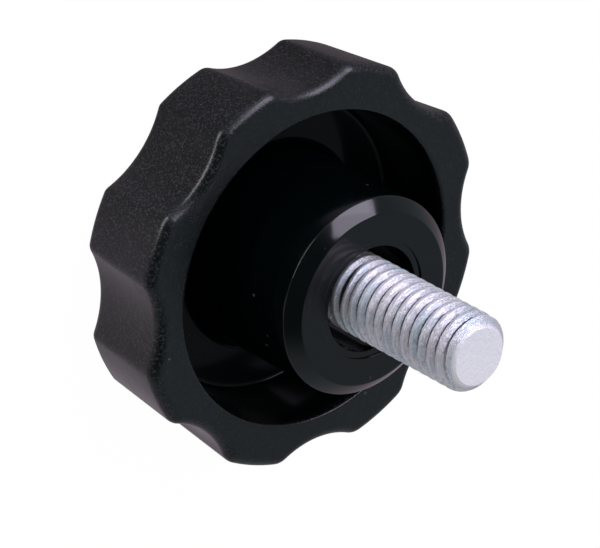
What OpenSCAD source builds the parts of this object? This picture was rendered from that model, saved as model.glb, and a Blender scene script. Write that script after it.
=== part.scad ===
// Star knob with a moulded-in threaded stud.
// Millimetres. Z runs along the stud, the knob stands on its crown at z = 0,
// and X points to the middle of a lobe.

/* [Lobed rim] */
// Diameter over the lobes at their widest
lobe_d = 41; // [38:0.5:46]
// Number of lobes round the rim
lobes = 8; // [6:1:9]
// Depth of each finger scallop, where the lobes are widest
scallop_depth = 1.7; // [1.2:0.1:2.2]
// Radius of each finger scallop, where the lobes are widest
scallop_r = 9.35; // [8:0.05:11]
// Rounding of the corners between lobes and scallops, where the lobes are widest
corner_r = 2; // [1.2:0.1:2.2]
// Height of the rim over the crown
rim_h = 11.2; // [9:0.1:14]
// Draft of the outer side and of the scallops, in degrees
side_draft = 5; // [2:0.5:6]
// Rounding of the rim's outer edge
rim_edge_r = 1.1; // [0.6:0.1:1.4]
// Rounding of the crown's edge
crown_edge_r = 1.3; // [0.6:0.1:2]

/* [Cavity] */
// Diameter of the cavity's mouth
mouth_d = 32; // [30:0.5:34]
// Thickness of the crown under the cavity
crown_t = 3.5; // [2.5:0.1:4]
// Draft of the rim's inner wall, in degrees
mouth_draft = 7; // [3:0.5:8]
// Fillet between the cavity's floor and the rim's inner wall
rim_fillet_r = 0.5; // [0.3:0.1:1.2]
// Fillet between the cavity's floor and the hub
hub_fillet_r = 0.9; // [0.5:0.1:1.4]
// Break of the mouth's edge
mouth_edge = 0.25; // [0.1:0.05:0.5]

/* [Hub] */
// Diameter of the hub at the foot of the boss chamfer
hub_d = 20; // [19:0.1:22]
// Draft of the hub, in degrees
hub_draft = 0.5; // [0:0.25:1]
// Height of the boss face over the crown
boss_h = 19.6; // [18:0.1:24]
// Width of the boss chamfer, measured along the face
boss_chamfer_w = 1.3; // [0.6:0.1:1.8]
// Height of the boss chamfer
boss_chamfer_h = 1.1; // [0.6:0.1:1.8]
// Diameter of the shallow step in the boss face
step_d = 12; // [11.5:0.1:14]
// Depth of the shallow step
step_depth = 0.2; // [0.1:0.05:0.5]
// Diameter of the relief round the stud
relief_d = 10.7; // [9.5:0.1:11]
// Depth of the relief, from the boss face
relief_depth = 4; // [3:0.1:6]

/* [Stud] */
// Diameter over the crests of the M8 thread
thread_d = 7.8; // [7.76:0.01:7.97]
// Length of the stud beyond the boss face
stud_reach = 15.2; // [10:0.1:40]
// Height of the 45 degree chamfer at the tip
tip_chamfer = 1.05; // [0.5:0.05:1.4]
// Plain length of shank between the relief's floor and the thread
thread_clear = 1; // [0.6:0.1:1.6]
// Diameter of the plain shank
shank_d = 7.2; // [6.6:0.05:7.4]
// Depth of the head's seat, from the boss face
anchor_depth = 9.8; // [8:0.1:10.5]
// Width of the hexagon head across its flats
head_af = 13; // [12:0.1:14]
// Height of the hexagon head
head_h = 5.3; // [4:0.1:5.5]
// Height lost at the head's corners to their chamfer
head_chamfer = 0.6; // [0.3:0.1:0.9]
// Gap between the moulding and the stud that it holds
insert_gap = 0.01; // [0.005:0.005:0.05]

/* [Hidden] */
$fn = 48;
over = 1;                                   // how far a cutter runs past a face
lobe_step = 360 / lobes;
side_cos = cos(side_draft);
side_sin = sin(side_draft);
side_in = rim_h * tan(side_draft);          // how far the side draws in at the crown
scallop_at = lobe_d / 2 - scallop_depth + scallop_r;
// Distance from a drafted side to the centre of the rounding at its wide or narrow edge
rim_edge_in = rim_edge_r * (1 + side_sin) / side_cos;
crown_edge_in = crown_edge_r * (1 - side_sin) / side_cos;
// How far the side, drawn on up to the rim's plane, would stand out past the widest point
side_past = rim_edge_in - rim_edge_r;
// Middle of the rounding at a corner: it touches the lobe's circle and the scallop's
corner_x = (pow(scallop_at, 2) + pow(lobe_d / 2 - corner_r, 2) - pow(scallop_r + corner_r, 2))
    / (2 * scallop_at);
corner_at = [corner_x, sqrt(pow(lobe_d / 2 - corner_r, 2) - pow(corner_x, 2))];
kiss = 0.02;                                // overlap that keeps touching rounds crossing
tip_z = boss_h + stud_reach;
head_top = boss_h - anchor_depth;
head_bottom = head_top - head_h;
relief_z = boss_h - relief_depth;
thread_z = relief_z + thread_clear;
chamfer_z = boss_h - boss_chamfer_h;

// Outline of the drafted side, as points from the crown to the rim.
// out = 1 where the material is inside the radius, -1 where it is outside.
function side_points(r_rim, r_crown, out) = [
    [r_crown - out * crown_edge_in, 0],
    [r_crown - out * (crown_edge_in - crown_edge_r * side_cos), crown_edge_r * (1 - side_sin)],
    [r_rim - out * (rim_edge_in - rim_edge_r * side_cos), rim_h - rim_edge_r * (1 + side_sin)],
    [r_rim - out * rim_edge_in, rim_h]
];

// The two roundings at the ends of that side.
module side_roundings(r_rim, r_crown, out) {
    translate([r_rim - out * rim_edge_in, rim_h - rim_edge_r]) circle(r = rim_edge_r);
    translate([r_crown - out * crown_edge_in, crown_edge_r]) circle(r = crown_edge_r);
}

// Disc with the drafted side and rounded edges, before the scallops are cut.
module blank() {
    r_rim = lobe_d / 2 + side_past;
    r_crown = r_rim - side_in;
    rotate_extrude() {
        polygon(concat([[0, 0]], side_points(r_rim, r_crown, 1), [[0, rim_h]]));
        side_roundings(r_rim, r_crown, 1);
    }
}

// Round post with the drafted side: what is left of a lobe's corner once it is rounded.
module corner_post() {
    r_rim = corner_r + side_past + kiss;
    r_crown = r_rim - side_in;
    rotate_extrude() intersection() {
        union() {
            polygon(concat([[-over, 0]], side_points(r_rim, r_crown, 1), [[-over, rim_h]]));
            side_roundings(r_rim, r_crown, 1);
        }
        square([corner_r + over, rim_h]);
    }
}

// The two corners beside a scallop, cut back to their posts.
module corner_cuts() {
    reach = 1.6 * corner_r;
    for (side = [-1, 1]) {
        away = [corner_at[0], side * corner_at[1]];
        to_rim = away / norm(away) * reach;
        to_scallop = ([scallop_at, 0] - away) / norm([scallop_at, 0] - away) * reach;
        translate([away[0], away[1], 0]) difference() {
            translate([0, 0, -over]) linear_extrude(height = rim_h + 2 * over)
                polygon([[0, 0], to_rim, to_scallop]);
            corner_post();
        }
    }
}

// One finger scallop: a drafted cut whose ends flare to round the edges beside it.
module scallop_cut() {
    r_rim = scallop_r - side_past;
    r_crown = r_rim + side_in;
    ends = side_points(r_rim, r_crown, -1);
    translate([scallop_at, 0, 0]) rotate_extrude() difference() {
        polygon(concat(
            [[0, -over], [ends[0][0], -over]], ends, [[ends[3][0], rim_h + over], [0, rim_h + over]]));
        side_roundings(r_rim, r_crown, -1);
    }
}

// Concave fillet in a corner that opens towards +X and +Y, with one drafted side.
// The side leans by the angle lean from the vertical, away from the corner's floor.
module fillet_fill(r, lean) {
    cx = r * (1 - sin(lean)) / cos(lean);
    difference() {
        polygon([[0, 0], [cx, 0], [cx - r * cos(lean), r * (1 - sin(lean))]]);
        translate([cx, r]) circle(r = r);
    }
}

// Half-section of the hub's outside, from the crown to the boss face.
module hub_section() {
    hub_r = hub_d / 2;
    foot_r = hub_r + (chamfer_z - crown_t) * tan(hub_draft);
    polygon([
        [0, 0], [foot_r, 0], [foot_r, crown_t], [hub_r, chamfer_z],
        [hub_r - boss_chamfer_w, boss_h], [0, boss_h]]);
    translate([foot_r, crown_t]) fillet_fill(hub_fillet_r, hub_draft);
}

// Half-section of the space inside the rim, without the hub.
module mouth_section() {
    mouth_r = mouth_d / 2;
    floor_r = mouth_r - (rim_h - crown_t) * tan(mouth_draft);
    difference() {
        polygon([
            [0, crown_t], [floor_r, crown_t],
            [mouth_r - mouth_edge * tan(mouth_draft), rim_h - mouth_edge],
            [mouth_r + mouth_edge, rim_h],
            [mouth_r + mouth_edge, rim_h + over], [0, rim_h + over]]);
        translate([floor_r, crown_t]) mirror([1, 0]) fillet_fill(rim_fillet_r, mouth_draft);
    }
}

// What the stud leaves in the moulding: step, relief, shank bore and head pocket.
module stud_pocket() {
    translate([0, 0, boss_h - step_depth]) cylinder(d = step_d, h = step_depth + over);
    translate([0, 0, relief_z]) cylinder(d = relief_d, h = relief_depth + over);
    translate([0, 0, head_bottom]) cylinder(d = shank_d + 2 * insert_gap, h = relief_z - head_bottom + over);
    stud_head(insert_gap);
}

// Hexagon head of the stud, its free corners chamfered, larger all round by gap.
module stud_head(gap) {
    corner_r = (head_af / 2 + gap) / cos(30);
    flat_r = head_af / 2 + gap;
    slope = head_chamfer / (corner_r - flat_r);
    intersection() {
        translate([0, 0, head_bottom - gap])
            cylinder(r = corner_r, h = head_h + 2 * gap, $fn = 6);
        translate([0, 0, head_bottom - gap])
            cylinder(r1 = flat_r, r2 = flat_r + (head_h + 2 * gap) / slope, h = head_h + 2 * gap);
    }
}

// The moulding: lobed rim, crown, hub and boss in one piece.
module knob_body() {
    color("#2b2d2f") difference() {
        union() {
            difference() {
                blank();
                for (i = [0 : lobes - 1])
                    rotate([0, 0, (i + 0.5) * lobe_step]) {
                        scallop_cut();
                        corner_cuts();
                    }
                rotate_extrude() mouth_section();
            }
            rotate_extrude() hub_section();
        }
        stud_pocket();
    }
}

// The steel stud: threaded end with its chamfer, plain shank and hexagon head.
module threaded_stud() {
    tip_r = thread_d / 2 - tip_chamfer;
    color("#c3c7cc") {
        rotate_extrude() polygon([
            [0, head_top - over], [shank_d / 2, head_top - over],
            [shank_d / 2, thread_z], [thread_d / 2, thread_z],
            [thread_d / 2, tip_z - tip_chamfer], [tip_r, tip_z], [0, tip_z]]);
        stud_head(0);
    }
}

knob_body();
threaded_stud();
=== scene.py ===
"""Star knob with a moulded-in threaded stud.

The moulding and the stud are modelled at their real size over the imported
frame. Z runs along the stud and the knob stands on its crown.
"""

import logging
import math
from collections.abc import Callable
from dataclasses import dataclass
from enum import Enum

import bmesh
import bpy
from mathutils import Matrix, Vector


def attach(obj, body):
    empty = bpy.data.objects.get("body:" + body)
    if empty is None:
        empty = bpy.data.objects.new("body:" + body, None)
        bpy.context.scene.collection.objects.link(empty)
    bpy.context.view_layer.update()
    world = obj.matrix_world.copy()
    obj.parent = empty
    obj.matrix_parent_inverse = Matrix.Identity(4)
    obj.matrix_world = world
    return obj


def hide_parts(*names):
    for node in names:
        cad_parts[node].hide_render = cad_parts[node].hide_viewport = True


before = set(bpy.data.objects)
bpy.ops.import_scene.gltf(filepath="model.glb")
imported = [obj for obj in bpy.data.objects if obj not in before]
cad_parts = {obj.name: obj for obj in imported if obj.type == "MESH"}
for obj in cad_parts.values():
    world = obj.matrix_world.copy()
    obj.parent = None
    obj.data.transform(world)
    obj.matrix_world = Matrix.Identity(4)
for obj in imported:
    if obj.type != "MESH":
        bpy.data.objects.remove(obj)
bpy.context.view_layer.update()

# Merging distances are in metres; NEAR, which tells heights apart, is in millimetres.
MM = 0.001
MERGE = 1e-7
SEAM = 2e-6
NEAR = 0.01
HEX_SIDES = 6
log = logging.getLogger("star_knob")

Band = tuple[float, float]
Colour = tuple[float, float, float, float]
Place = Callable[[int], Vector]
Point = tuple[float, float]
Profile = list[Point]

BMesh = bmesh.types.BMesh
Edges = list[bmesh.types.BMEdge]
Ring = tuple[list[bmesh.types.BMVert], Edges]
Material = bpy.types.Material
Node = bpy.types.Node
Object = bpy.types.Object
Socket = bpy.types.NodeSocket
Tree = bpy.types.NodeTree

WHITE: Colour = (1.0, 1.0, 1.0, 1.0)
FLOAT = "NodeSocketFloat"
VECTOR = "NodeSocketVector"

# Directions of a half-section, in degrees from the outward one.
UP, INWARD, DOWN = 90.0, 180.0, 270.0


class Slot(Enum):
    """Material slots of the record."""

    MOULDING = "moulding"
    STUD = "stud"


class Arc(Enum):
    """The three kinds of arc that make up the knob's outline."""

    LOBE = "lobe"
    CORNER = "corner"
    SCALLOP = "scallop"


# --------------------------------------------------------------------------- shapes


def arc_points(centre: Point, radius: float, start: float, end: float, steps: int) -> Profile:
    """Points along an arc of a half-section, both ends included.

    Args:
        centre: Radius and height of the arc's centre, in millimetres.
        radius: Radius of the arc, in millimetres.
        start: Angle of the first point, in degrees from the outward direction.
        end: Angle of the last point, in degrees.
        steps: Number of segments.

    Returns:
        The points as (radius, height) pairs, in millimetres.
    """
    turns = [math.radians(start + (end - start) * i / steps) for i in range(steps + 1)]
    return [(centre[0] + radius * math.cos(t), centre[1] + radius * math.sin(t)) for t in turns]


def between(first: Point, last: Point, parts: int) -> Profile:
    """Points that divide a straight run into equal parts, without its two ends."""
    (r0, z0), (r1, z1) = first, last
    return [(r0 + (r1 - r0) * s / parts, z0 + (z1 - z0) * s / parts) for s in range(1, parts)]


def soft_corner(corner: Point, before: Point, after: Point, reach: float) -> Profile:
    """Small rounding of a corner between two straight runs.

    Args:
        corner: The sharp corner.
        before: Direction in which the profile arrives.
        after: Direction in which the profile leaves.
        reach: Distance from the corner to each end of the rounding.

    Returns:
        Four points over the corner.
    """
    point, into, out = Vector(corner), Vector(before).normalized(), Vector(after).normalized()
    start, end = point - reach * into, point + reach * out
    shares = (0.0, 1 / 3, 2 / 3, 1.0)
    curve = [start * (1 - s) ** 2 + point * 2 * s * (1 - s) + end * s**2 for s in shares]
    return [(p.x, p.y) for p in curve]


def round_point(radius: float, angle: float, height: float) -> Vector:
    """Point at a distance from the axis, in a direction and at a height."""
    return Vector((radius * math.cos(angle), radius * math.sin(angle), height))


def hexagon_radius(flat: float, angle: float) -> float:
    """Distance from the axis to a hexagon's side.

    Args:
        flat: Distance from the axis to the middle of a side.
        angle: Direction, in radians.

    Returns:
        The distance in that direction.
    """
    sixth = math.tau / HEX_SIDES
    off = (angle + sixth / 2) % sixth - sixth / 2
    return flat / math.cos(sixth / 2 - abs(off))


@dataclass(frozen=True)
class LobedOutline:
    """Outline of the knob: lobes on one circle, scallops between, soft corners.

    Lengths are in millimetres. An inset draws the outline in and keeps every
    arc concentric, as a drafted or rounded side does.
    """

    lobes: int = 8
    radius: float = 20.5
    scallop_depth: float = 1.7
    scallop_radius: float = 9.35
    corner_radius: float = 2.0
    lobe_steps: int = 6
    corner_steps: int = 8
    scallop_steps: int = 10

    @property
    def half_steps(self) -> int:
        """Steps from the middle of a lobe to the middle of a scallop."""
        return self.lobe_steps + self.corner_steps + self.scallop_steps

    @property
    def stations(self) -> int:
        """Number of points round the outline."""
        return 2 * self.half_steps * self.lobes

    @property
    def scallop_at(self) -> float:
        """Distance of a scallop's centre from the axis."""
        return self.radius - self.scallop_depth + self.scallop_radius

    def crossing(self, lobe_r: float, scallop_r: float) -> Vector:
        """Point where a circle round the axis meets one round the scallop's centre.

        Args:
            lobe_r: Radius of the circle round the axis.
            scallop_r: Radius of the circle round the scallop's centre, which lies on X.

        Returns:
            The meeting point with positive Y.
        """
        at = self.scallop_at
        x = (at**2 + lobe_r**2 - scallop_r**2) / (2 * at)
        return Vector((x, math.sqrt(lobe_r**2 - x**2)))

    def corner_centre(self) -> Vector:
        """Centre of the corner's arc, beside a scallop whose centre lies on X."""
        lobe_r = self.radius - self.corner_radius
        return self.crossing(lobe_r, self.scallop_radius + self.corner_radius)

    def arc_at(self, step: int) -> tuple[Arc, float]:
        """Kind of arc and normal angle at a step from a lobe's middle to a scallop's.

        Args:
            step: Step number, from 0 in the middle of a lobe.

        Returns:
            The kind of arc, and the outline's normal angle in radians.
        """
        corner = self.corner_centre()
        lobe_end = math.atan2(corner.y, corner.x)
        scallop_end = -math.atan2(corner.y, self.scallop_at - corner.x)
        if step <= self.lobe_steps:
            half = math.pi / self.lobes
            return Arc.LOBE, half + (lobe_end - half) * step / self.lobe_steps
        step -= self.lobe_steps
        if step <= self.corner_steps:
            share = step / self.corner_steps
            return Arc.CORNER, lobe_end + (scallop_end - lobe_end) * share
        step -= self.corner_steps
        return Arc.SCALLOP, scallop_end * (1 - step / self.scallop_steps)

    def half_point(self, step: int, inset: float) -> Vector:
        """Point of the drawn-in outline beside a scallop whose centre lies on X.

        Args:
            step: Step number, from 0 in the middle of the lobe.
            inset: How far the outline is drawn in.

        Returns:
            The point, on the side of the scallop with positive Y.
        """
        kind, angle = self.arc_at(step)
        lobe_r, scallop_r = self.radius - inset, self.scallop_radius + inset
        meet = self.crossing(lobe_r, scallop_r)
        normal = Vector((math.cos(angle), math.sin(angle)))
        centre = Vector((self.scallop_at, 0.0))
        if kind is Arc.LOBE:
            point = lobe_r * normal
            worn_away = angle < math.atan2(meet.y, meet.x)
        elif kind is Arc.CORNER:
            point = self.corner_centre() + (self.corner_radius - inset) * normal
            worn_away = inset > self.corner_radius
        else:
            point = centre - scallop_r * normal
            worn_away = -angle > math.atan2(meet.y, centre.x - meet.x)
        return meet if worn_away else point

    def point(self, station: int, inset: float) -> Vector:
        """Point of the drawn-in outline at a station, in the knob's own frame.

        Args:
            station: Number of the point round the outline.
            inset: How far the outline is drawn in.

        Returns:
            The point in the plane of the outline.
        """
        pitch, step = divmod(station, 2 * self.half_steps)
        mirrored = step < self.half_steps
        flat = self.half_point(step if mirrored else 2 * self.half_steps - step, inset)
        if mirrored:
            flat.y = -flat.y
        turn = (pitch + 0.5) * math.tau / self.lobes
        return Matrix.Rotation(turn, 2) @ flat


# --------------------------------------------------------------------------- meshes


def extrude_ring(bm: BMesh, edges: Edges) -> Ring:
    """Extrude an open ring of edges.

    Args:
        bm: The mesh.
        edges: The ring.

    Returns:
        The new ring's vertices and edges.
    """
    made = bmesh.ops.extrude_edge_only(bm, edges=edges)["geom"]
    verts = [g for g in made if isinstance(g, bmesh.types.BMVert)]
    return verts, [g for g in made if isinstance(g, bmesh.types.BMEdge) and g.is_boundary]


def weld(bm: BMesh) -> None:
    """Merge doubled vertices and dissolve what has no size."""
    bmesh.ops.remove_doubles(bm, verts=bm.verts, dist=MERGE)
    bmesh.ops.dissolve_degenerate(bm, edges=bm.edges, dist=MERGE)


def finish_mesh(bm: BMesh, name: str, sharp: float) -> Object:
    """Weld the mesh, turn its faces outwards, shade it smooth and make the object.

    Args:
        bm: The mesh, which is freed.
        name: Name of the piece.
        sharp: Edges that turn by more than this stay crisp, in degrees.

    Returns:
        The new object, linked to the scene.
    """
    weld(bm)
    bmesh.ops.recalc_face_normals(bm, faces=bm.faces)
    for face in bm.faces:
        face.smooth = True
    piece = link_mesh(bm, name)
    piece.data.set_sharp_from_angle(angle=math.radians(sharp))
    return piece


def link_mesh(bm: BMesh, name: str) -> Object:
    """Make an object from a mesh and link it to the scene.

    Args:
        bm: The mesh, which is freed.
        name: Name of the object.

    Returns:
        The new object.
    """
    mesh = bpy.data.meshes.new(name)
    bm.to_mesh(mesh)
    bm.free()
    made = bpy.data.objects.new(name, mesh)
    bpy.context.scene.collection.objects.link(made)
    return made


class RingLoft:
    """Skin made by drawing one closed ring of edges from place to place."""

    def __init__(self, stations: int) -> None:
        """Start with a closed disc.

        Args:
            stations: Number of points in the ring.
        """
        self.bm = bmesh.new()
        self.layer = self.bm.verts.layers.int.new("station")
        disc = {"cap_ends": True, "cap_tris": True, "radius": 1.0}
        made = bmesh.ops.create_circle(self.bm, segments=stations, **disc)
        self.ring = [v for v in made["verts"] if v.co.length > NEAR]
        for number, vert in enumerate(self.ring):
            vert[self.layer] = number
        self.edges = [e for e in self.bm.edges if e.is_boundary]

    def put(self, place: Place) -> None:
        """Move the open ring to a place, given in millimetres."""
        for vert in self.ring:
            vert.co = place(vert[self.layer]) * MM

    def draw(self, place: Place) -> None:
        """Extrude the open ring and move the new one to a place."""
        self.ring, self.edges = extrude_ring(self.bm, self.edges)
        self.put(place)

    def finish(self, name: str, sharp: float) -> Object:
        """Fill the open ring with a flat face and make the object."""
        bmesh.ops.edgeloop_fill(self.bm, edges=self.edges)
        return finish_mesh(self.bm, name, sharp)


# --------------------------------------------------------------------------- nodes


class Graph:
    """Small helper that adds and links shader nodes."""

    def __init__(self, tree: Tree) -> None:
        """Keep the nodes' tree."""
        self.tree = tree

    @classmethod
    def start(cls, owner: Material | bpy.types.World) -> "Graph":
        """Give a material or a world an empty node tree.

        Args:
            owner: The material or the world.

        Returns:
            The helper of its tree.
        """
        owner.use_nodes = True
        owner.node_tree.nodes.clear()
        return cls(owner.node_tree)

    def node(self, kind: str, **values: object) -> Node:
        """Add a node and set its properties.

        Args:
            kind: Type of the node.
            **values: Its properties.

        Returns:
            The new node.
        """
        made = self.tree.nodes.new(kind)
        for key, value in values.items():
            setattr(made, key, value)
        return made

    def feed(self, node: Node, **inputs: object) -> Node:
        """Link or set a node's inputs, whose spaces are written as underscores.

        Args:
            node: The node.
            **inputs: Output sockets to link, or plain values to set. A number
                after "in" names an input by its place.

        Returns:
            The same node.
        """
        for key, value in inputs.items():
            place = int(key[2:]) if key[:2] == "in" and key[2:].isdigit() else None
            socket = node.inputs[place if place is not None else key.replace("_", " ")]
            if isinstance(value, Socket):
                self.tree.links.new(value, socket)
            else:
                socket.default_value = value
        return node

    def math(self, operation: str, *terms: object) -> Socket:
        """Add a Math node and give its result.

        Args:
            operation: The node's operation.
            *terms: Sockets or numbers for its inputs.

        Returns:
            The result's socket.
        """
        made = self.node("ShaderNodeMath", operation=operation)
        return self.feed(made, **{f"in{i}": t for i, t in enumerate(terms)}).outputs[0]

    def ramp(self, value: Socket, low: float, high: float) -> Socket:
        """Smooth step of a value, from 0 at low to 1 at high."""
        made = self.node("ShaderNodeMapRange", interpolation_type="SMOOTHSTEP")
        return self.feed(made, Value=value, From_Min=low, From_Max=high).outputs["Result"]

    def mix_colour(self, factor: object, first: object, second: object) -> Socket:
        """Mix two colours, the second one by the factor's share."""
        made = self.node("ShaderNodeMix", data_type="RGBA")
        return self.feed(made, in0=factor, in6=first, in7=second).outputs[2]

    def mix_value(self, factor: object, first: object, second: object) -> Socket:
        """Mix two values, the second one by the factor's share."""
        made = self.node("ShaderNodeMix", data_type="FLOAT")
        return self.feed(made, in0=factor, in2=first, in3=second).outputs[0]

    def separate(self, vector: Socket) -> tuple[Socket, Socket, Socket]:
        """Split a vector into the sockets of its X, Y and Z."""
        parts = self.feed(self.node("ShaderNodeSeparateXYZ"), Vector=vector).outputs
        return parts["X"], parts["Y"], parts["Z"]


def new_group(name: str, inputs: dict[str, str], outputs: dict[str, str]) -> tuple[Graph, Node, Node]:
    """Start a shader node group with named sockets.

    Args:
        name: Name of the group.
        inputs: Input names and socket types.
        outputs: Output names and socket types.

    Returns:
        The helper of its tree, the input node and the output node.
    """
    tree = bpy.data.node_groups.new(name, "ShaderNodeTree")
    for way, sockets in (("INPUT", inputs), ("OUTPUT", outputs)):
        for key, kind in sockets.items():
            tree.interface.new_socket(key, in_out=way, socket_type=kind)
    graph = Graph(tree)
    return graph, graph.node("NodeGroupInput"), graph.node("NodeGroupOutput")


@dataclass(frozen=True)
class Grain:
    """Fine moulded or plated grain."""

    pit_smoothness: float = 0.4
    noise_scale: float = 0.8
    noise_share: float = 0.6
    noise_roughness: float = 0.7
    patch_roughness: float = 0.55
    detail: float = 4.0
    tip_band: Band = (0.5, 0.62)

    def group(self) -> Tree:
        """Make the shader group.

        Returns:
            A group with inputs Position, Scale and Patch Scale, and outputs Height,
            Tip and Patch, each from 0 to 1.
        """
        graph, start, end = new_group(
            "surface_grain",
            {"Position": VECTOR, "Scale": FLOAT, "Patch Scale": FLOAT},
            {"Height": FLOAT, "Tip": FLOAT, "Patch": FLOAT},
        )
        at, scale, patch_scale = (start.outputs[k] for k in ("Position", "Scale", "Patch Scale"))
        pits = graph.node("ShaderNodeTexVoronoi", feature="SMOOTH_F1")
        graph.feed(pits, Vector=at, Scale=scale, Smoothness=self.pit_smoothness)
        noise = graph.node("ShaderNodeTexNoise")
        noise_scale = graph.math("MULTIPLY", scale, self.noise_scale)
        graph.feed(noise, Vector=at, Scale=noise_scale, Detail=self.detail, Roughness=self.noise_roughness)
        patch = graph.node("ShaderNodeTexNoise")
        graph.feed(patch, Vector=at, Scale=patch_scale, Detail=self.detail, Roughness=self.patch_roughness)
        height = graph.mix_value(self.noise_share, pits.outputs["Distance"], noise.outputs["Fac"])
        tip = graph.ramp(noise.outputs["Fac"], *self.tip_band)
        graph.feed(end, Height=height, Tip=tip, Patch=patch.outputs["Fac"])
        return graph.tree


@dataclass(frozen=True)
class Streaks:
    """Fine marks drawn out round the axis, as rolling and plating leave them."""

    detail: float = 6.0
    roughness: float = 0.65
    band: Band = (0.34, 0.66)

    def group(self) -> Tree:
        """Make the shader group.

        Returns:
            A group with inputs Position, Scale and Squeeze, and the output Streak,
            from 0 to 1.
        """
        graph, start, end = new_group(
            "rolled_streaks",
            {"Position": VECTOR, "Scale": FLOAT, "Squeeze": FLOAT},
            {"Streak": FLOAT},
        )
        squeeze = graph.node("ShaderNodeCombineXYZ")
        graph.feed(squeeze, X=1.0, Y=1.0, Z=start.outputs["Squeeze"])
        drawn = graph.node("ShaderNodeVectorMath", operation="MULTIPLY")
        graph.feed(drawn, in0=start.outputs["Position"], in1=squeeze.outputs["Vector"])
        marks = graph.node("ShaderNodeTexNoise")
        graph.feed(marks, Vector=drawn.outputs["Vector"], Scale=start.outputs["Scale"])
        graph.feed(marks, Detail=self.detail, Roughness=self.roughness)
        graph.feed(end, Streak=graph.ramp(marks.outputs["Fac"], *self.band))
        return graph.tree


@dataclass(frozen=True)
class Dust:
    """Sparse pale specks."""

    reach: float = 0.16

    def group(self) -> Tree:
        """Make the shader group.

        Returns:
            A group with inputs Position, Scale and Amount, and the output Speck,
            which is 0 or 1.
        """
        graph, start, end = new_group(
            "fine_dust",
            {"Position": VECTOR, "Scale": FLOAT, "Amount": FLOAT},
            {"Speck": FLOAT},
        )
        cells = graph.node("ShaderNodeTexVoronoi", feature="F1")
        graph.feed(cells, Vector=start.outputs["Position"], Scale=start.outputs["Scale"])
        pick = graph.feed(graph.node("ShaderNodeSeparateColor"), Color=cells.outputs["Color"])
        kept = graph.math("LESS_THAN", pick.outputs["Red"], start.outputs["Amount"])
        reach = graph.math("MULTIPLY", pick.outputs["Green"], self.reach)
        near = graph.math("LESS_THAN", cells.outputs["Distance"], reach)
        graph.feed(end, Speck=graph.math("MULTIPLY", kept, near))
        return graph.tree


# --------------------------------------------------------------------------- finishes


class Skin:
    """A material in the making, with its own coordinates and grain."""

    def __init__(self, name: str, grain: Tree, scale: float, patch_scale: float) -> None:
        """Make the material, its Principled shader and its grain.

        Args:
            name: Name of the material.
            grain: The grain group.
            scale: Scale of the grain.
            patch_scale: Scale of the broad patches.
        """
        self.material = bpy.data.materials.new(name)
        self.graph = Graph.start(self.material)
        self.shader = self.graph.node("ShaderNodeBsdfPrincipled")
        output = self.graph.node("ShaderNodeOutputMaterial")
        self.graph.feed(output, Surface=self.shader.outputs["BSDF"])
        self.at = self.graph.node("ShaderNodeTexCoord").outputs["Object"]
        x, y, self.height = self.graph.separate(self.at)
        squares = [self.graph.math("MULTIPLY", side, side) for side in (x, y)]
        self.radius = self.graph.math("SQRT", self.graph.math("ADD", *squares))
        self.grain = self.place(grain, Scale=scale, Patch_Scale=patch_scale)

    def place(self, group: Tree, **inputs: object) -> Node:
        """Add a shader group that reads the object's coordinates."""
        made = self.graph.node("ShaderNodeGroup", node_tree=group)
        return self.graph.feed(made, Position=self.at, **inputs)

    def finish(self, colour: Socket, roughness: Socket, relief: Socket) -> Material:
        """Link the colour, the roughness and the bump.

        Args:
            colour: The base colour.
            roughness: The roughness.
            relief: Height of the fine relief, in metres.

        Returns:
            The material.
        """
        bump = self.graph.node("ShaderNodeBump")
        self.graph.feed(bump, Height=relief, Strength=1.0, Distance=1.0)
        normal = bump.outputs["Normal"]
        self.graph.feed(self.shader, Base_Color=colour, Roughness=roughness, Normal=normal)
        return self.material


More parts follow.
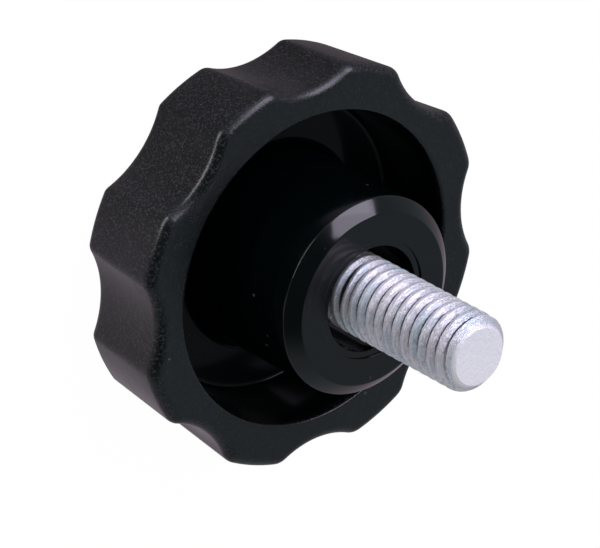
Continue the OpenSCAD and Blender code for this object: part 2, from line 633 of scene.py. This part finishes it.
@dataclass(frozen=True)
class MouldedPlastic:
    """Black moulded plastic: grained outside, smooth inside the mouth and on the hub.

    Radii, heights and bands of them are in metres. A band runs from the place
    where its mask is 0 to the place where it is 1.
    """

    name: str = "black_moulding"
    base: Colour = (0.0006, 0.0020, 0.0023, 1.0)
    pale: Colour = (0.0016, 0.0044, 0.0048, 1.0)
    # tip: paler colour painted on grain tips as glints, and along the mouth's lip as a highlight.
    tip: Colour = (0.026, 0.025, 0.029, 1.0)
    speck: Colour = (0.10, 0.13, 0.13, 1.0)
    speck_scale: float = 900.0
    speck_amount: float = 0.06
    speck_share: float = 0.35
    grain_scale: float = 5300.0
    patch_scale: float = 220.0
    patch_band: Band = (0.3, 0.75)
    patch_tone: Band = (0.6, 1.0)
    grained_roughness: Band = (0.24, 0.30)
    smooth_roughness: Band = (0.09, 0.15)
    wall_roughness: float = 0.16
    grain_height: float = 0.00002
    smooth_height: float = 0.000001
    mouth_band: Band = (15.85 * MM, 16.05 * MM)
    wall_band: Band = (14.7 * MM, 14.9 * MM)
    crown_height: float = 1.5 * MM
    face_band: Band = (11.09 * MM, 11.19 * MM)
    face_glint_share: float = 0.3
    lip_radius: float = 16.0 * MM
    lip_band: Band = (0.16 * MM, 0.04 * MM)
    lip_rise: Band = (10.89 * MM, 10.99 * MM)
    lip_highlight: Band = (0.15, 0.8)
    deep_shade_band: Band = (6.0 * MM, 4.2 * MM)
    sheen: float = 0.5
    deep_shade_sheen: float = 0.12
    ior: float = 1.5

    def build(self, grain: Tree, dust: Tree) -> Material:
        """Make the material.

        Args:
            grain: The grain group.
            dust: The dust group.

        Returns:
            The material.
        """
        skin = Skin(self.name, grain, self.grain_scale, self.patch_scale)
        graph = skin.graph
        patch = graph.ramp(skin.grain.outputs["Patch"], *self.patch_band)
        crown = graph.math("LESS_THAN", skin.height, self.crown_height)
        outside = graph.math("MAXIMUM", graph.ramp(skin.radius, *self.mouth_band), crown)
        inside = graph.math("SUBTRACT", 1.0, outside)
        # Reflection is turned down deep in the groove round the hub, below the mouth: painted shade.
        deep = graph.math("MULTIPLY", graph.ramp(skin.height, *self.deep_shade_band), inside)
        sheen = graph.mix_value(deep, self.sheen, self.deep_shade_sheen)
        graph.feed(skin.shader, Specular_IOR_Level=sheen, IOR=self.ior)
        depth = graph.mix_value(outside, self.smooth_height, self.grain_height)
        relief = graph.math("MULTIPLY", skin.grain.outputs["Height"], depth)
        colour = self.colour_and_painted_glints(skin, patch, outside)
        specks = skin.place(dust, Scale=self.speck_scale, Amount=self.speck_amount)
        dusty = graph.math("MULTIPLY", specks.outputs["Speck"], self.speck_share)
        colour = graph.mix_colour(dusty, colour, self.speck)
        return skin.finish(colour, self.roughness(skin, patch, outside), relief)

    def colour_and_painted_glints(self, skin: Skin, patch: Socket, outside: Socket) -> Socket:
        """Colour of the plastic, with painted glints on its grain tips and a painted highlight along the
        mouth's lip.

        Args:
            skin: The material in the making.
            patch: Mask of the broad patches.
            outside: Mask of the grained outside.

        Returns:
            The colour's socket.
        """
        graph = skin.graph
        toned = graph.math("MULTIPLY", outside, graph.mix_value(patch, *self.patch_tone))
        colour = graph.mix_colour(toned, self.base, self.pale)
        flat = graph.ramp(skin.height, *self.face_band)
        sides = graph.math("MULTIPLY", outside, graph.mix_value(flat, 1.0, self.face_glint_share))
        # Grain tips painted paler on the sides, fewer on the face: painted glints.
        painted_glints = graph.math("MULTIPLY", sides, skin.grain.outputs["Tip"])
        colour = graph.mix_colour(painted_glints, colour, self.tip)
        # A thin band at the mouth's edge, just under the face, is painted paler and patchy: a painted
        # highlight.
        off_lip = graph.math("ABSOLUTE", graph.math("SUBTRACT", skin.radius, self.lip_radius))
        rise = graph.ramp(skin.height, *self.lip_rise)
        lip = graph.math("MULTIPLY", graph.ramp(off_lip, *self.lip_band), rise)
        worn_streaks_and_lip_highlight = graph.math("MULTIPLY", lip, graph.mix_value(patch, *self.lip_highlight))
        return graph.mix_colour(worn_streaks_and_lip_highlight, colour, self.tip)

    def roughness(self, skin: Skin, patch: Socket, outside: Socket) -> Socket:
        """Roughness of the grained outside, the mouth's wall and the smooth rest.

        Args:
            skin: The material in the making.
            patch: Mask of the broad patches.
            outside: Mask of the grained outside.

        Returns:
            The roughness's socket.
        """
        graph = skin.graph
        wall = graph.ramp(skin.radius, *self.wall_band)
        smooth = graph.mix_value(patch, *self.smooth_roughness)
        smooth = graph.mix_value(wall, smooth, self.wall_roughness)
        return graph.mix_value(outside, smooth, graph.mix_value(patch, *self.grained_roughness))


@dataclass(frozen=True)
class PlatedSteel:
    """Bright zinc plating over rolled steel, with painted shade in the thread's grooves.

    Heights, radii and bands of them are in metres. A band runs from the place
    where its mask is 0 to the place where it is 1.
    """

    name: str = "zinc_plating"
    base: Colour = (0.95, 0.94, 1.0, 1.0)
    blue: Colour = (0.60, 0.76, 0.86, 1.0)
    dark: Colour = (0.16, 0.17, 0.22, 1.0)
    groove_shade: Colour = (0.05, 0.052, 0.07, 1.0)
    metallic: float = 0.62
    tip_metallic: float = 0.25
    roughness: Band = (0.33, 0.15)
    grain_scale: float = 2600.0
    grain_height: float = 0.000006
    patch_scale: float = 260.0
    patch_band: Band = (0.42, 0.62)
    patch_share: float = 0.6
    streak_scale: float = 1700.0
    streak_squeeze: float = 6.0
    streak_height: float = 0.00003
    worn_band: Band = (0.50, 0.0)
    worn_share: float = 0.36
    tip_band: Band = (34.3 * MM, 34.75 * MM)
    tip_marks: float = 0.12
    thread_band: Band = (33.9 * MM, 33.5 * MM)
    groove_shade_band: Band = (3.48 * MM, 3.36 * MM)
    ragged: float = 0.06 * MM

    def build(self, grain: Tree, streaks: Tree) -> Material:
        """Make the material.

        Args:
            grain: The grain group.
            streaks: The group of rolled marks.

        Returns:
            The material.
        """
        skin = Skin(self.name, grain, self.grain_scale, self.patch_scale)
        graph = skin.graph
        marks = skin.place(streaks, Scale=self.streak_scale, Squeeze=self.streak_squeeze)
        streak = marks.outputs["Streak"]
        flat_tip = graph.ramp(skin.height, *self.tip_band)
        sides = graph.mix_value(flat_tip, 1.0, self.tip_marks)
        patch = graph.ramp(skin.grain.outputs["Patch"], *self.patch_band)
        patch = graph.math("MULTIPLY", graph.math("MULTIPLY", patch, sides), self.patch_share)
        colour = graph.mix_colour(patch, self.base, self.blue)
        worn_streaks_and_lip_highlight = graph.math("MULTIPLY", graph.ramp(streak, *self.worn_band), self.worn_share)
        colour = graph.mix_colour(graph.math("MULTIPLY", worn_streaks_and_lip_highlight, sides), colour, self.dark)
        # The thread's grooves below the chamfer are painted dark, with ragged edges from the streaks:
        # painted shade.
        uneven = graph.math("ADD", skin.radius, graph.math("MULTIPLY", streak, self.ragged))
        thread = graph.ramp(skin.height, *self.thread_band)
        deep = graph.math("MULTIPLY", graph.ramp(uneven, *self.groove_shade_band), thread)
        colour = graph.mix_colour(deep, colour, self.groove_shade)
        fine = graph.math("MULTIPLY", skin.grain.outputs["Height"], self.grain_height)
        drawn = graph.math("MULTIPLY", streak, self.streak_height)
        relief = graph.math("ADD", fine, drawn)
        metallic = graph.mix_value(flat_tip, self.metallic, self.tip_metallic)
        graph.feed(skin.shader, Metallic=metallic)
        return skin.finish(colour, graph.mix_value(streak, *self.roughness), relief)


# --------------------------------------------------------------------------- pieces


@dataclass(frozen=True)
class KnobMoulding:
    """The moulding: lobed rim, crown, hub and boss. Lengths in millimetres.

    A loop is a ring of edges that holds the end of a rounding in place.
    """

    outline: LobedOutline
    name: str = "knob_moulding"
    sharp: float = 35.0
    rim_height: float = 11.2
    side_draft: float = 5.0
    side_parts: int = 4
    rim_edge: float = 1.1
    rim_steps: int = 10
    crown_edge: float = 1.3
    crown_thickness: float = 3.5
    crown_rings: tuple[float, ...] = (6.0, 14.0)
    mouth_radius: float = 16.0
    mouth_draft: float = 7.0
    mouth_edge: float = 0.25
    mouth_steps: int = 4
    rim_fillet: float = 0.5
    hub_fillet: float = 0.9
    hub_radius: float = 10.0
    hub_draft: float = 0.5
    boss_height: float = 19.6
    chamfer_width: float = 1.3
    chamfer_height: float = 1.1
    chamfer_soft: float = 0.08
    step_radius: float = 6.0
    step_depth: float = 0.2
    step_soft: float = 0.05
    relief_radius: float = 5.35
    relief_depth: float = 4.0
    relief_soft: float = 0.06
    bore_radius: float = 3.61
    head_top: float = 9.81
    head_bottom: float = 4.49
    head_flat: float = 6.51
    arc_steps: int = 8
    support: float = 0.12
    wall_loop: float = 0.3
    hub_loops: tuple[Point, ...] = ((0.05, 4.0), (0.002, 0.25))
    face_loops: Band = (0.3, 0.2)
    step_loops: Band = (0.02, 0.15)

    def side_profile(self) -> Profile:
        """Outer side, from the crown to the rim's face.

        Returns:
            The profile as pairs of inset and height.
        """
        draft = math.radians(self.side_draft)
        side = INWARD + self.side_draft
        drawn = self.rim_height * math.tan(draft)
        past = self.rim_edge * ((1 + math.sin(draft)) / math.cos(draft) - 1)
        crown_in = drawn - past + self.crown_edge * (1 - math.sin(draft)) / math.cos(draft)
        low_at = (crown_in, self.crown_edge)
        low = arc_points(low_at, self.crown_edge, DOWN, side, self.arc_steps)
        high_at = (self.rim_edge, self.rim_height - self.rim_edge)
        high = arc_points(high_at, self.rim_edge, side, UP, self.rim_steps)
        foot = (low[0][0] + self.support, 0.0)
        face = (high[-1][0] + self.support, self.rim_height)
        return [foot, *low, *between(low[-1], high[0], self.side_parts), *high, face]

    def mouth_profile(self) -> Profile:
        """Inside of the rim, from the mouth's edge down to the groove's floor.

        Returns:
            The profile as pairs of radius and height.
        """
        lean = math.radians(self.mouth_draft)
        top, floor = self.rim_height, self.crown_thickness
        edge_at = (self.mouth_radius + self.mouth_edge, top - self.mouth_edge)
        fillet_in = self.rim_fillet * (1 - math.sin(lean)) / math.cos(lean)
        foot = self.mouth_radius - (top - floor) * math.tan(lean) - fillet_in
        wall = [
            (self.mouth_radius - deep * math.tan(lean), top - deep)
            for deep in (self.mouth_edge + self.support, (top - floor) / 2)
        ]
        fillet_at = (foot, floor + self.rim_fillet)
        return [
            (self.mouth_radius + self.mouth_edge + self.support, top),
            *arc_points(edge_at, self.mouth_edge, UP, INWARD - self.mouth_draft, self.mouth_steps),
            *wall,
            *arc_points(fillet_at, self.rim_fillet, -self.mouth_draft, -UP, self.arc_steps),
            (foot - self.support, floor),
        ]

    def hub_profile(self) -> Profile:
        """Hub, from the groove's floor up to its chamfer.

        Returns:
            The profile as pairs of radius and height.
        """
        lean = math.radians(self.hub_draft)
        floor, chamfer_foot = self.crown_thickness, self.boss_height - self.chamfer_height
        foot = self.hub_radius + (chamfer_foot - floor) * math.tan(lean)
        fillet_out = self.hub_fillet * (1 - math.sin(lean)) / math.cos(lean)
        fillet_at = (foot + fillet_out, floor + self.hub_fillet)
        side = INWARD + self.hub_draft
        return [
            (foot + fillet_out + self.support, floor),
            *arc_points(fillet_at, self.hub_fillet, DOWN, side, self.arc_steps),
            (foot, floor + self.hub_fillet + self.wall_loop),
            *((self.hub_radius + out, chamfer_foot - down) for out, down in self.hub_loops),
        ]

    def boss_profile(self) -> Profile:
        """Boss, from its chamfer over its face and step down into the stud's bore.

        Returns:
            The profile as pairs of radius and height.
        """
        top = self.boss_height
        low, relief_floor = top - self.step_depth, top - self.relief_depth
        face_r = self.hub_radius - self.chamfer_width
        slope = (-self.chamfer_width, self.chamfer_height)
        up, inward, down = (0, 1), (-1, 0), (0, -1)
        near, far = self.step_loops
        return [
            *soft_corner((self.hub_radius, top - self.chamfer_height), up, slope, self.chamfer_soft),
            *soft_corner((face_r, top), slope, inward, self.chamfer_soft),
            (face_r - self.face_loops[0], top),
            (self.step_radius + self.face_loops[1], top),
            *soft_corner((self.step_radius, top), inward, down, self.step_soft),
            (self.step_radius - near, low),
            (self.step_radius - far, low),
            (self.relief_radius + far, low),
            *soft_corner((self.relief_radius, low), inward, down, self.relief_soft),
            (self.relief_radius, low - self.wall_loop),
            (self.relief_radius, relief_floor),
            (self.bore_radius, relief_floor),
            (self.bore_radius, self.head_top),
        ]

    def build(self) -> Object:
        """Make the moulding's mesh.

        Returns:
            The moulding.
        """
        outline, side = self.outline, self.side_profile()
        face_edge = (outline.point(s, side[-1][0]) for s in range(outline.stations))
        angles = [math.atan2(edge.y, edge.x) for edge in face_edge]

        def lobed(inset: float, height: float) -> Place:
            """Places of a lobed ring."""
            return lambda s: Vector((*outline.point(s, inset), height))

        def turned(radius: float, height: float) -> Place:
            """Places of a round ring."""
            return lambda s: round_point(radius, angles[s], height)

        def faced(height: float) -> Place:
            """Places of a ring on the head pocket's six sides."""
            flat = self.head_flat
            return lambda s: round_point(hexagon_radius(flat, angles[s]), angles[s], height)

        loft = RingLoft(outline.stations)
        places = [turned(radius, 0.0) for radius in self.crown_rings]
        places += [lobed(*pair) for pair in side]
        inner = self.mouth_profile() + self.hub_profile() + self.boss_profile()
        places += [turned(*pair) for pair in inner]
        places += [faced(self.head_top), faced(self.head_bottom)]
        loft.put(places[0])
        for place in places[1:]:
            loft.draw(place)
        return loft.finish(self.name, self.sharp)


@dataclass(frozen=True)
class RolledStud:
    """The stud with its real thread, run-out, chamfer and hidden head. Millimetres."""

    name: str = "rolled_stud"
    sharp: float = 50.0
    crest_radius: float = 3.9
    pitch: float = 1.25
    depth_ratio: float = 0.613
    tip: float = 34.8
    tip_radius: float = 2.85
    tip_rings: tuple[float, ...] = (0.05, 0.4, 1.6)
    thread_start: float = 16.6
    shank_radius: float = 3.6
    head_top: float = 9.8
    head_bottom: float = 4.5
    head_flat: float = 6.5
    root_at: float = 21.12
    root_turn: float = 42.95
    flank_angle: float = 26.0
    flank_shares: tuple[float, ...] = (0.0, 0.12, 0.35, 0.65, 0.9, 1.0)
    root_flat: float = 0.10
    crown: float = 0.05
    crown_shares: tuple[float, ...] = (0.15, 0.4, 0.75)
    segments: int = 96
    spare_turns: int = 3
    gap_at: float = 76.0
    gap_reach: float = 58.0
    gap_turns: int = 2
    gap_lift: float = 0.42
    gap_start: float = 0.02

    @property
    def depth(self) -> float:
        """Depth of the thread from crest to root."""
        return self.depth_ratio * self.pitch

    def thread_profile(self) -> Profile:
        """One pitch of the thread, from crest to crest.

        Returns:
            The profile as pairs of radius and height.
        """
        crest, root = self.crest_radius, self.crest_radius - self.depth
        flank = self.depth * math.tan(math.radians(self.flank_angle))
        half = [(root, 0.0)]
        for s in self.flank_shares:
            radius = root + self.depth * s * (1 - self.crown * s)
            half.append((radius, self.root_flat / 2 + flank * s))
        edge = half[-1][1]
        rest = self.pitch / 2 - edge
        for s in self.crown_shares:
            half.append((crest - self.depth * self.crown * (1 - s) ** 2, edge + rest * s))
        return [(r, -z) for r, z in reversed(half[1:])] + half

    def build(self) -> Object:
        """Make the stud's mesh.

        Returns:
            The stud.
        """
        bm = bmesh.new()
        turns = math.ceil((self.tip - self.thread_start) / self.pitch) + self.spare_turns
        below = math.ceil((self.root_at - self.thread_start) / self.pitch + 1)
        lead = self.root_at - self.pitch * below
        turn_in = Matrix.Rotation(math.radians(self.root_turn), 3, "Z")
        comb = [(r, lead + z + n * self.pitch) for n in range(turns) for r, z in self.thread_profile()]
        verts = [bm.verts.new(turn_in @ Vector((r, 0.0, z)) * MM) for r, z in comb]
        edges = [bm.edges.new(pair) for pair in zip(verts, verts[1:], strict=False)]
        bmesh.ops.spin(
            bm,
            geom=verts + edges,
            cent=(0.0, 0.0, 0.0),
            axis=(0.0, 0.0, 1.0),
            dvec=(0.0, 0.0, self.pitch / self.segments * MM),
            angle=math.tau,
            steps=self.segments,
            use_merge=False,
            use_duplicate=False,
        )
        bmesh.ops.remove_doubles(bm, verts=bm.verts, dist=SEAM)
        self.trim(bm)
        weld(bm)
        self.close_tip(bm)
        self.add_shank(bm)
        return finish_mesh(bm, self.name, self.sharp)

    def trim(self, bm: BMesh) -> None:
        """Widen the first root, cut the tip's chamfer and end the thread at its start.

        Args:
            bm: The helical skin.
        """
        for vert in bm.verts:
            angle = math.atan2(vert.co.y, vert.co.x)
            flat = vert.co.to_2d()
            radius, height = flat.length / MM, vert.co.z / MM
            height += self.first_root_gap(math.degrees(angle), height)
            cone = min(self.crest_radius, self.tip_radius + max(self.tip - height, 0.0))
            want = self.shank_radius if height < self.thread_start else min(radius, cone)
            height = min(max(height, self.thread_start), self.tip)
            vert.co = (flat.normalized() * want).to_3d() * MM
            vert.co.z = height * MM

    def first_root_gap(self, angle: float, height: float) -> float:
        """How far a point is lifted, so that the root at the boss face is wider.

        Args:
            angle: The point's direction, in degrees.
            height: Its height.

        Returns:
            The lift, which fades out a pitch above the root and to both sides.
        """
        off = angle - self.gap_at
        if abs(off) > self.gap_reach:
            return 0.0
        root = self.root_at + self.pitch * ((angle - self.root_turn) / 360 - self.gap_turns)
        share = (height - root) / self.pitch
        if not self.gap_start < share < 1.0:
            return 0.0
        return self.gap_lift * (1 - share) * math.cos(math.pi / 2 * off / self.gap_reach) ** 2

    def close_tip(self, bm: BMesh) -> None:
        """Fill the tip's end with a flat face.

        Args:
            bm: The helical skin.
        """
        top = (self.tip - NEAR) * MM
        edges = [e for e in bm.edges if e.is_boundary and e.verts[0].co.z > top]
        for inward in self.tip_rings:
            ring, edges = extrude_ring(bm, edges)
            for vert in ring:
                angle = math.atan2(vert.co.y, vert.co.x)
                vert.co = round_point(self.tip_radius - inward, angle, self.tip) * MM
        bmesh.ops.edgeloop_fill(bm, edges=edges)

    def add_shank(self, bm: BMesh) -> None:
        """Carry the skin down the shank to the hexagon head.

        Args:
            bm: The skin, whose thread is trimmed.
        """
        low = (self.thread_start + NEAR) * MM
        edges = [e for e in bm.edges if e.is_boundary and e.verts[0].co.z < low]
        for on_head, height in ((False, self.head_top), (True, self.head_top), (True, self.head_bottom)):
            ring, edges = extrude_ring(bm, edges)
            for vert in ring:
                angle = math.atan2(vert.co.y, vert.co.x)
                radius = hexagon_radius(self.head_flat, angle) if on_head else self.shank_radius
                vert.co = round_point(radius, angle, height) * MM
        bmesh.ops.edgeloop_fill(bm, edges=edges)


# --------------------------------------------------------------------------- studio


@dataclass(frozen=True)
class Softbox:
    """One area lamp that faces the object.

    It stands in a direction given by the camera's right, up and back, at a
    distance in metres.
    """

    name: str
    right: float
    up: float
    back: float
    distance: float
    width: float
    tall: float
    radiance: float
    colour: tuple[float, float, float] = (1.0, 1.0, 1.0)


@dataclass(frozen=True)
class Studio:
    """Camera, floor, world and lamps.

    The camera's place and directions are given before the turn of the whole
    view about Z, in millimetres and degrees. Bands on the floor are in metres.
    """

    lens: float = 300.0
    sensor: float = 36.0
    clip: Band = (0.01, 20.0)
    camera_at: tuple[float, float, float] = (-1.175, 344.27, 341.23)
    camera_right: tuple[float, float, float] = (0.4777, -0.6095, 0.6327)
    camera_up: tuple[float, float, float] = (0.8785, 0.3314, -0.3440)
    turn: float = -17.05
    centre: tuple[float, float, float] = (0.0, 0.0, 14.0)
    floor_half: float = 1.5
    floor_cells: int = 8
    floor_colour: Colour = (0.8, 0.8, 0.8, 1.0)
    camera_white: float = 0.96
    camera_level: float = 1.02
    gloss_white: float = 0.50
    gloss_dim: float = 0.17
    gloss_far: float = 0.34
    gloss_tint: Colour = (1.0, 0.87, 1.0, 1.0)
    dim_band: Band = (-0.022, 0.022)
    far_band: Band = (0.027, 0.042)
    room: float = 0.31
    room_tint: Colour = (0.90, 1.0, 1.10, 1.0)
    dark_room: float = 0.06
    dark_side: tuple[float, float, float] = (-0.08, -0.36, 0.93)
    dark_band: Band = (0.42, 0.85)
    diffuse_room: float = 0.6

    @property
    def spin(self) -> Matrix:
        """Turn of the whole view about Z."""
        return Matrix.Rotation(math.radians(self.turn), 3, "Z")

    @property
    def axes(self) -> tuple[Vector, Vector, Vector]:
        """The camera's right, up and back directions."""
        right = (self.spin @ Vector(self.camera_right)).normalized()
        back = right.cross(self.spin @ Vector(self.camera_up)).normalized()
        return right, back.cross(right).normalized(), back

    def towards(self, right: float, up: float, back: float) -> Vector:
        """Unit vector along a mix of the camera's directions."""
        shares = (right, up, back)
        return sum((s * a for s, a in zip(shares, self.axes, strict=True)), Vector()).normalized()

    def add_camera(self) -> None:
        """Add the camera and make it the scene's."""
        data = bpy.data.cameras.new("camera")
        data.lens = self.lens
        data.sensor_fit = "HORIZONTAL"
        data.sensor_width = self.sensor
        data.clip_start, data.clip_end = self.clip
        camera = bpy.data.objects.new("camera", data)
        matrix = Matrix(self.axes).transposed().to_4x4()
        matrix.translation = self.spin @ Vector(self.camera_at) * MM
        camera.matrix_world = matrix
        bpy.context.scene.collection.objects.link(camera)
        bpy.context.scene.camera = camera

    def add_floor(self) -> None:
        """Add the pale floor, which looks white and keeps the shadow."""
        bm = bmesh.new()
        cells = self.floor_cells
        bmesh.ops.create_grid(bm, x_segments=cells, y_segments=cells, size=self.floor_half)
        floor = link_mesh(bm, "floor")
        floor.data.materials.append(self.floor_material())

    def floor_material(self) -> Material:
        """Matt white for the light, with its own level for the camera and for reflections.

        Returns:
            The material.
        """
        material = bpy.data.materials.new("floor")
        graph = Graph.start(material)
        matt = graph.feed(graph.node("ShaderNodeBsdfDiffuse"), Color=self.floor_colour)
        path = graph.node("ShaderNodeLightPath").outputs
        at = graph.node("ShaderNodeTexCoord").outputs["Object"]
        away = graph.feed(graph.node("ShaderNodeVectorMath", operation="LENGTH"), in0=at)
        # The floor's level in reflections is lower across one side of the knob, a painted shadow of the
        # knob, and set to its own level far away.
        dim = graph.ramp(graph.separate(at)[0], *self.dim_band)
        far = graph.ramp(away.outputs["Value"], *self.far_band)
        sheen = graph.mix_value(dim, self.gloss_white, self.gloss_dim)
        sheen = graph.mix_value(far, sheen, self.gloss_far)
        level = graph.mix_value(path["Is Glossy Ray"], self.camera_level, sheen)
        tint = graph.mix_colour(path["Is Glossy Ray"], WHITE, self.gloss_tint)
        glow = graph.feed(graph.node("ShaderNodeEmission"), Color=tint, Strength=level)
        by_camera = graph.math("MULTIPLY", path["Is Camera Ray"], self.camera_white)
        share = graph.math("MAXIMUM", by_camera, path["Is Glossy Ray"])
        mixed = graph.node("ShaderNodeMixShader")
        graph.feed(mixed, in0=share, in1=matt.outputs[0], in2=glow.outputs[0])
        graph.feed(graph.node("ShaderNodeOutputMaterial"), Surface=mixed.outputs[0])
        return material

    def add_world(self) -> None:
        """Add a soft world, dark behind the camera, that looks white behind the object."""
        world = bpy.data.worlds.new("studio")
        graph = Graph.start(world)
        way = graph.node("ShaderNodeTexCoord").outputs["Generated"]
        facing = graph.node("ShaderNodeVectorMath", operation="DOT_PRODUCT")
        graph.feed(facing, in0=way, in1=self.towards(*self.dark_side))
        dark = graph.ramp(facing.outputs["Value"], *self.dark_band)
        path = graph.node("ShaderNodeLightPath").outputs
        level = graph.mix_value(dark, self.room, self.dark_room)
        level = graph.mix_value(path["Is Diffuse Ray"], level, self.diffuse_room)
        level = graph.mix_value(path["Is Camera Ray"], level, 1.0)
        tint = graph.mix_colour(path["Is Glossy Ray"], WHITE, self.room_tint)
        glow = graph.feed(graph.node("ShaderNodeBackground"), Color=tint, Strength=level)
        graph.feed(graph.node("ShaderNodeOutputWorld"), Surface=glow.outputs[0])
        bpy.context.scene.world = world

    def add_lamp(self, box: Softbox) -> None:
        """Add one softbox.

        Args:
            box: The softbox.
        """
        direction = self.towards(box.right, box.up, box.back)
        data = bpy.data.lights.new(box.name, "AREA")
        data.shape = "RECTANGLE"
        data.size = box.width
        data.size_y = box.tall
        data.energy = box.radiance * math.pi * box.width * box.tall
        data.color = box.colour
        lamp = bpy.data.objects.new(box.name, data)
        lamp.location = Vector(self.centre) * MM + direction * box.distance
        lamp.rotation_euler = direction.to_track_quat("Z", "Y").to_euler()
        lamp.visible_camera = False
        bpy.context.scene.collection.objects.link(lamp)

    def build(self, boxes: tuple[Softbox, ...]) -> None:
        """Set up the whole studio.

        Args:
            boxes: The softboxes.
        """
        self.add_camera()
        self.add_floor()
        self.add_world()
        for box in boxes:
            self.add_lamp(box)
        bpy.context.scene.view_settings.view_transform = "Standard"


LILAC = (0.88, 0.81, 1.0)

SOFTBOXES = (
    Softbox("key", 0.665, 0.473, 0.575, distance=0.6, width=0.40, tall=0.34, radiance=4.4, colour=LILAC),
    Softbox("top", 0.42, 0.75, 0.50, distance=0.6, width=0.5, tall=0.4, radiance=1.0, colour=LILAC),
    Softbox("left_card", -0.67, 0.41, 0.62, distance=0.0555, width=0.038, tall=0.008, radiance=6.5),
)


def dress(piece: Object, node: str, material: Material) -> None:
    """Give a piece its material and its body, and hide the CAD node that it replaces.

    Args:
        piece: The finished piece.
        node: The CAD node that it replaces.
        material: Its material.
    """
    piece.data.materials.append(material)
    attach(piece, "root")
    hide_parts(node)
    log.info("%s: %d faces, in place of %s", piece.name, len(piece.data.polygons), node)


def main() -> None:
    """Build the pieces, dress them and set up the studio."""
    logging.basicConfig(level=logging.INFO, format="%(name)s: %(message)s")
    grain, dust, streaks = Grain().group(), Dust().group(), Streaks().group()
    moulding = KnobMoulding(LobedOutline()).build()
    dress(moulding, "knob_body", MouldedPlastic().build(grain, dust))
    stud = RolledStud().build()
    dress(stud, "threaded_stud", PlatedSteel().build(grain, streaks))
    Studio().build(SOFTBOXES)
    bpy.context.view_layer.update()


if __name__ == "__main__":
    main()
